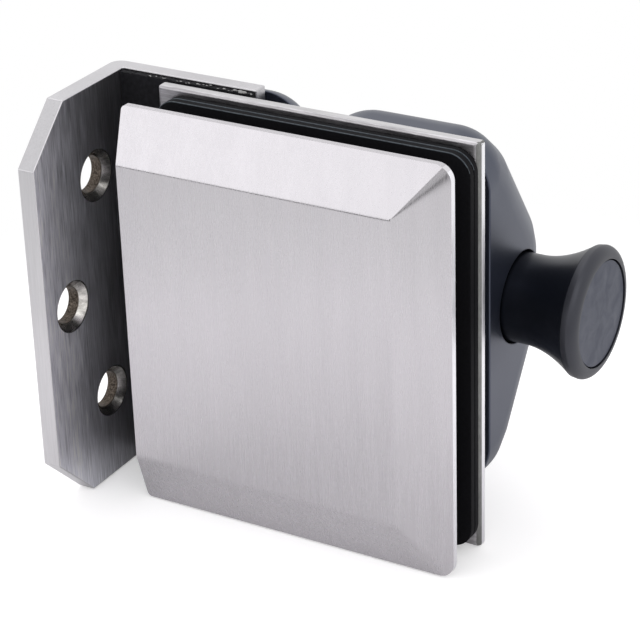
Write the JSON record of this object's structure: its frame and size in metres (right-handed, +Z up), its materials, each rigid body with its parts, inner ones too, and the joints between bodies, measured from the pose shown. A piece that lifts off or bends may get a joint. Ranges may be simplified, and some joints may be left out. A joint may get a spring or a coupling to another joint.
{
  "type": "glass door latch",
  "caption": "Glass door latch with a bevelled front cover and rear pull knob; its sprung pin crosses into a keeper on an angled wall bracket.",
  "frame": {"origin": "middle of the wall bracket's flat wall face: X=0 on the wall, Y=0 halfway along the leg's depth, Z=0 at mid-height", "axes": "+X from the wall along the door, +Y from the front cover towards the latch body, +Z up"},
  "size_m": [0.1191, 0.0703, 0.1],
  "materials": {
    "satin_steel": "brushed satin stainless",
    "bright_steel": "bright zinc or stainless screw stock",
    "black_rubber": "fine-grained black rubber sheet",
    "dark_nylon": "satin moulded nylon, blue-grey charcoal",
    "white_nylon": "natural nylon",
    "plated_magnet": "nickel plate"
  },
  "bodies": {
    "latch": {"wall_bracket": "satin_steel", "front_cover": "satin_steel", "back_plate": "satin_steel", "stop_pad": "black_rubber", "cover_gasket": "black_rubber", "plate_gasket_outer": "black_rubber", "plate_gasket_inner": "black_rubber", "glass_bush_lower": "white_nylon", "glass_bush_upper": "white_nylon", "clamp_screw_lower": "bright_steel", "clamp_screw_upper": "bright_steel", "housing_base": "dark_nylon", "housing_screw_lower": "bright_steel", "housing_screw_upper": "bright_steel", "latch_housing": "dark_nylon", "shaft_bush": "white_nylon", "return_spring": "bright_steel", "keeper_base": "dark_nylon", "keeper_housing": "dark_nylon", "keeper_screw_lower": "bright_steel", "keeper_screw_upper": "bright_steel", "pin_bush": "white_nylon", "pin_spring": "bright_steel"},
    "knob": {"pull_knob": "dark_nylon", "knob_disc": "dark_nylon", "knob_screw": "bright_steel", "pull_shaft": "bright_steel", "magnet_carriage": "dark_nylon", "latch_magnet": "plated_magnet"},
    "pin": {"latch_pin": "bright_steel", "pin_collar": "bright_steel"}
  },
  "joints": [
    {"name": "knob_pull", "type": "slide", "parent": "latch", "child": "knob", "axis": [1, 0, 0], "range_m": [0, 0.009], "stiffness_N_per_m": 600, "springref_m": -0.004, "deforming": ["return_spring"]},
    {"name": "pin_retract", "type": "slide", "parent": "latch", "child": "pin", "axis": [-1, 0, 0], "range_m": [0, 0.0085], "deforming": ["pin_spring"]}
  ],
  "couplings": [
    {"joint": "pin_retract", "follows": "knob_pull", "ratio": 0.9444}
  ]
}
